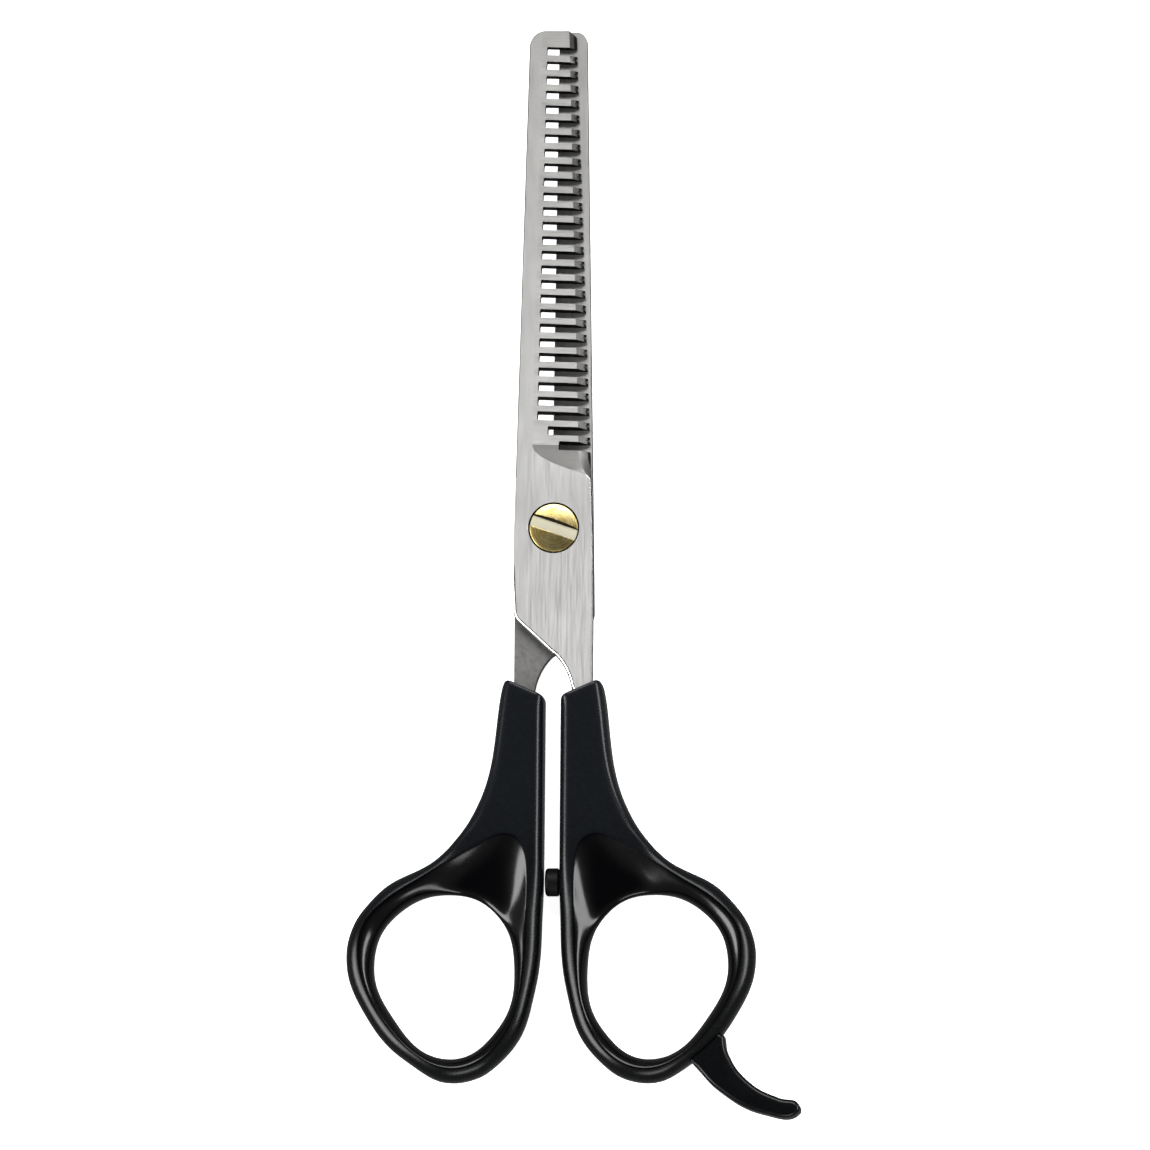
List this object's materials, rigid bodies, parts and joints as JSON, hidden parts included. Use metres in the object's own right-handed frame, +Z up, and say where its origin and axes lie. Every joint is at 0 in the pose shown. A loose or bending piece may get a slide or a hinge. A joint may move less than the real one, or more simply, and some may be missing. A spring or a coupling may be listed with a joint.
{
  "type": "thinning shears",
  "caption": "Hair thinning shears with a comb blade over a straight blade on a slotted brass pivot screw, black moulded finger loops, a bumper and a curved finger rest.",
  "frame": {"origin": "on the pivot axis, in the back face of the straight blade, where the end of the pivot screw is flush with it", "axes": "+Z up along the pivot axis through the screw's head, +Y towards the blade tips, +X towards the finger handle, with the shears closed"},
  "size_m": [0.0711, 0.1711, 0.0072],
  "materials": {
    "blade_steel": "fine crosswise grind, satin",
    "screw_brass": "turned and lightly polished",
    "washer_nylon": "plain",
    "handle_plastic": "moulded, glossy",
    "bumper_rubber": "moulded, matte"
  },
  "bodies": {
    "finger_half": {"comb_blade": "blade_steel", "finger_handle": "handle_plastic", "bumper": "bumper_rubber", "finger_rest": "handle_plastic", "friction_washer": "washer_nylon"},
    "thumb_half": {"straight_blade": "blade_steel", "thumb_handle": "handle_plastic"},
    "tension_screw": {"pivot_screw": "screw_brass"}
  },
  "joints": [
    {"name": "blade_pivot", "type": "hinge", "parent": "finger_half", "child": "thumb_half", "pos_m": [0, 0, 0.00215], "axis": [0, 0, -1], "range_deg": [0, 90]},
    {"name": "screw_turn", "type": "hinge", "parent": "thumb_half", "child": "tension_screw", "pos_m": [0, 0, 0.001], "axis": [0, 0, -1], "range_deg": [-90, 90]}
  ]
}
